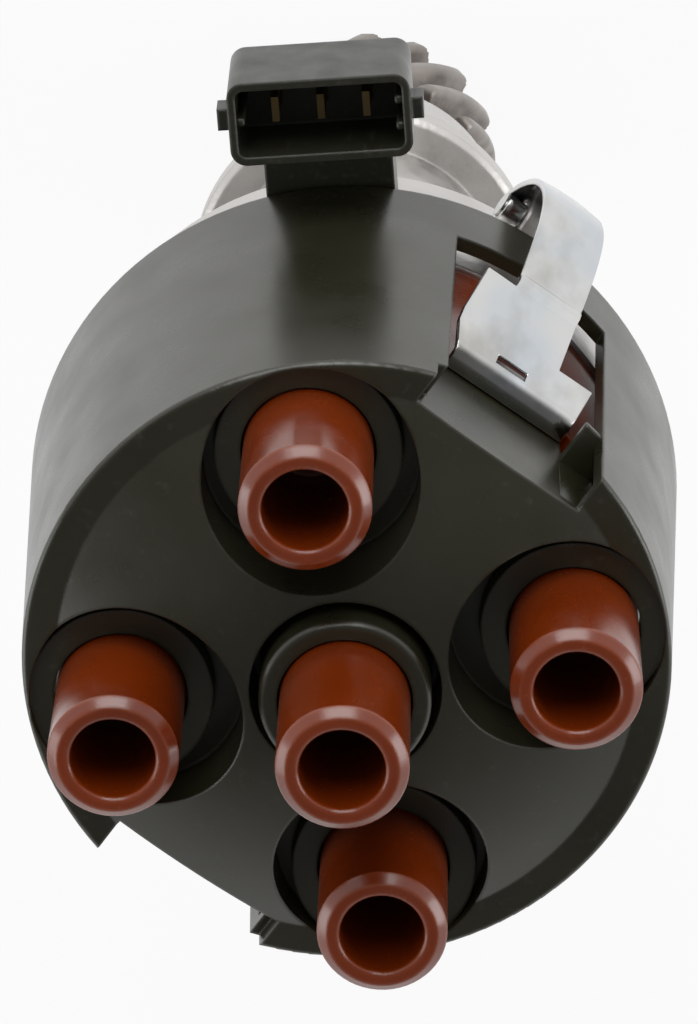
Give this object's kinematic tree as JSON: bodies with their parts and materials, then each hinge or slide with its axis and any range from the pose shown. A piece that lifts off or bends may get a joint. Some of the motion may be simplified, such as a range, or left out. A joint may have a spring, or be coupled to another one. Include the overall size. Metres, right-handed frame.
{
  "type": "ignition distributor",
  "caption": "Ignition distributor with a towered red cap under a black shield, spring clips, hall sensor connector, cast housing and a helical drive gear.",
  "frame": {"origin": "on the shaft axis, in the plane of the flange's seating face", "axes": "+Z along the shaft towards the cap, -Y towards the connector"},
  "size_m": [0.0734, 0.0901, 0.205],
  "materials": {
    "cast_aluminium": "fine cast, dull",
    "seal_rubber": "smooth rubber",
    "bush_bronze": "sintered bronze",
    "plain_steel": "ground",
    "plated_steel": "zinc plated",
    "clip_steel": "bright zinc plated",
    "gear_steel": "oiled dark steel",
    "magnet": "sintered",
    "sensor_plastic": "moulded",
    "connector_plastic": "moulded, slight sheen",
    "shield_plastic": "moulded, half gloss",
    "cap_plastic": "moulded, satin",
    "rotor_plastic": "moulded",
    "brass_blades": "plain brass",
    "contact_metal": "turned",
    "carbon": "pressed carbon"
  },
  "bodies": {
    "housing_body": {"housing": "cast_aluminium", "shank_seal": "seal_rubber", "lower_bush": "bush_bronze", "upper_bush": "bush_bronze", "shaft_seal": "seal_rubber", "upper_washer": "plain_steel", "base_plate": "plated_steel", "plate_screws": "plated_steel", "hall_sensor": "sensor_plastic", "hall_magnet": "magnet", "dust_cover": "sensor_plastic", "connector_socket": "connector_plastic", "terminal_blades": "brass_blades", "distributor_cap": "cap_plastic", "outer_terminals": "contact_metal", "centre_terminal": "contact_metal", "brush_spring": "plain_steel", "dust_shield": "shield_plastic", "clip_pins": "plated_steel"},
    "rotor": {"drive_shaft": "plain_steel", "lower_washer": "plain_steel", "drive_gear": "gear_steel", "gear_pin": "plain_steel", "trigger_wheel": "plated_steel", "rotor_arm": "rotor_plastic", "rotor_blade": "brass_blades"},
    "brush": {"carbon_brush": "carbon"},
    "left_clip_body": {"left_clip": "clip_steel"},
    "right_clip_body": {"right_clip": "clip_steel"}
  },
  "joints": [
    {"name": "shaft_spin", "type": "hinge", "parent": "housing_body", "child": "rotor", "pos_m": [0, 0, 0], "axis": [0, 0, 1], "continuous": true},
    {"name": "brush_slide", "type": "slide", "parent": "housing_body", "child": "brush", "axis": [0, 0, 1], "range_m": [0, 0.002], "stiffness_N_per_m": 150, "springref_m": -0.002, "deforming": ["brush_spring"]},
    {"name": "right_clip_hinge", "type": "hinge", "parent": "housing_body", "child": "right_clip_body", "pos_m": [0.02256, 0.02715, 0.0684], "axis": [-0.7692, 0.639, 0], "range_deg": [0, 75], "stiffness_Nm_per_rad": 0.02, "springref_deg": -8.59},
    {"name": "left_clip_hinge", "type": "hinge", "parent": "housing_body", "child": "left_clip_body", "pos_m": [-0.02256, -0.02715, 0.0684], "axis": [0.7692, -0.639, 0], "range_deg": [0, 75], "stiffness_Nm_per_rad": 0.02, "springref_deg": -8.59}
  ]
}
